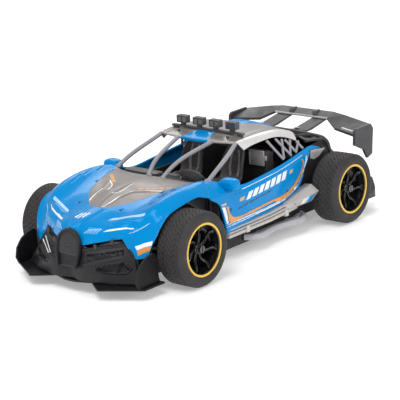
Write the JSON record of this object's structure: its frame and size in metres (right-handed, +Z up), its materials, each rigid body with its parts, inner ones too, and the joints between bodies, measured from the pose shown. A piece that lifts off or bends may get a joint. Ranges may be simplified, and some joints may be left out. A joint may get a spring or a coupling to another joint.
{
  "type": "remote control car",
  "caption": "Toy remote control rally coupe with open cabin, roof light bar, large rear wing, steering front wheels and geared rear drive.",
  "frame": {"origin": "on the ground, at the middle of the car's length and width", "axes": "+Z up, the nose points towards -Y, +X is the car's left side, both axles run along X"},
  "size_m": [0.189, 0.37, 0.1134],
  "materials": {
    "blue_body": "glossy bright blue moulded plastic",
    "warm_grey_panel": "glossy warm grey",
    "silver_trim": "champagne silver sprayed plastic",
    "black_plastic": "matte black moulded plastic",
    "grey_frame": "satin grey",
    "interior": "matte near black",
    "light_grey_box": "matte light grey",
    "chassis_plastic": "fine textured black",
    "steel": "plain steel",
    "lens": "smoked glossy lens",
    "battery_sleeve": "shrink sleeve",
    "circuit_board": "solder mask",
    "tyre_rubber": "soft charcoal rubber",
    "gloss_black_rim": "gloss black with a yellow edge ring"
  },
  "bodies": {
    "chassis": {"battery_door": "chassis_plastic", "battery_pack": "battery_sleeve", "body_screws": "steel", "bonnet_panel": "warm_grey_panel", "bucket_seats": "interior", "cabin_bulkhead": "light_grey_box", "cabin_tray": "interior", "cage_pillars": "grey_frame", "chassis_pan": "chassis_plastic", "dashboard": "interior", "door_mirrors": "blue_body", "drive_motor": "steel", "front_axle_carrier": "chassis_plastic", "front_bumper": "black_plastic", "front_grille": "black_plastic", "front_shell": "blue_body", "front_splitter": "black_plastic", "gearbox_case": "chassis_plastic", "kingpins": "steel", "lamp_lenses": "lens", "left_door_panel": "blue_body", "light_bar": "black_plastic", "rear_axle_carrier": "chassis_plastic", "rear_bearings": "steel", "rear_bodywork": "black_plastic", "rear_deck": "grey_frame", "rear_diffuser": "black_plastic", "receiver_board": "circuit_board", "right_door_panel": "blue_body", "roof_lamps": "black_plastic", "roof_panel": "warm_grey_panel", "roof_scoop": "blue_body", "roof_side_rails": "silver_trim", "side_skirts": "silver_trim", "steering_motor": "chassis_plastic", "steering_wheel": "interior", "step_bars": "grey_frame", "switch_housing": "chassis_plastic", "window_nets": "grey_frame", "wing_blade": "black_plastic", "wing_end_plates": "black_plastic", "wing_struts": "black_plastic"},
    "front_left_wheel": {"front_left_tyre": "tyre_rubber", "front_left_rim": "gloss_black_rim"},
    "front_right_wheel": {"front_right_tyre": "tyre_rubber", "front_right_rim": "gloss_black_rim"},
    "left_steering_knuckle": {"left_knuckle": "chassis_plastic", "front_left_hub_screw": "steel"},
    "right_steering_knuckle": {"right_knuckle": "chassis_plastic", "front_right_hub_screw": "steel"},
    "steering_link": {"tie_rod": "chassis_plastic"},
    "steering_horn": {"servo_horn": "chassis_plastic"},
    "rear_wheels": {"rear_axle": "steel", "rear_left_tyre": "tyre_rubber", "rear_left_rim": "gloss_black_rim", "rear_right_tyre": "tyre_rubber", "rear_right_rim": "gloss_black_rim", "rear_hub_screws": "steel"},
    "motor_shaft": {"motor_pinion": "steel"},
    "switch_knob": {"power_switch": "chassis_plastic"}
  },
  "joints": [
    {"name": "left_steer", "type": "hinge", "parent": "chassis", "child": "left_steering_knuckle", "pos_m": [0.066, -0.105, 0.0337], "axis": [0, 0, 1], "range_deg": [-18, 18]},
    {"name": "right_steer", "type": "hinge", "parent": "chassis", "child": "right_steering_knuckle", "pos_m": [-0.066, -0.105, 0.0337], "axis": [0, 0, 1], "range_deg": [-18, 18]},
    {"name": "tie_rod_slide", "type": "slide", "parent": "chassis", "child": "steering_link", "axis": [1, 0, 0], "range_m": [-0.0041, 0.0041]},
    {"name": "horn_turn", "type": "hinge", "parent": "chassis", "child": "steering_horn", "pos_m": [0, -0.074, 0.036], "axis": [0, 0, 1], "range_deg": [-13.2, 13.2]},
    {"name": "front_left_spin", "type": "hinge", "parent": "left_steering_knuckle", "child": "front_left_wheel", "pos_m": [0.08, -0.105, 0.0337], "axis": [1, 0, 0], "continuous": true},
    {"name": "front_right_spin", "type": "hinge", "parent": "right_steering_knuckle", "child": "front_right_wheel", "pos_m": [-0.08, -0.105, 0.0337], "axis": [1, 0, 0], "continuous": true},
    {"name": "rear_axle_spin", "type": "hinge", "parent": "chassis", "child": "rear_wheels", "pos_m": [0, 0.124, 0.0337], "axis": [1, 0, 0], "continuous": true},
    {"name": "pinion_spin", "type": "hinge", "parent": "chassis", "child": "motor_shaft", "pos_m": [0, 0.1031, 0.0337], "axis": [1, 0, 0], "continuous": true},
    {"name": "power_switch_slide", "type": "slide", "parent": "chassis", "child": "switch_knob", "axis": [0, 1, 0], "range_m": [0, 0.005]}
  ],
  "couplings": [
    {"joint": "right_steer", "follows": "left_steer", "ratio": 1},
    {"joint": "tie_rod_slide", "follows": "left_steer", "m_per_rad": -0.012787},
    {"joint": "horn_turn", "follows": "left_steer", "ratio": -0.71643},
    {"joint": "pinion_spin", "follows": "rear_axle_spin", "ratio": -3.3333}
  ]
}
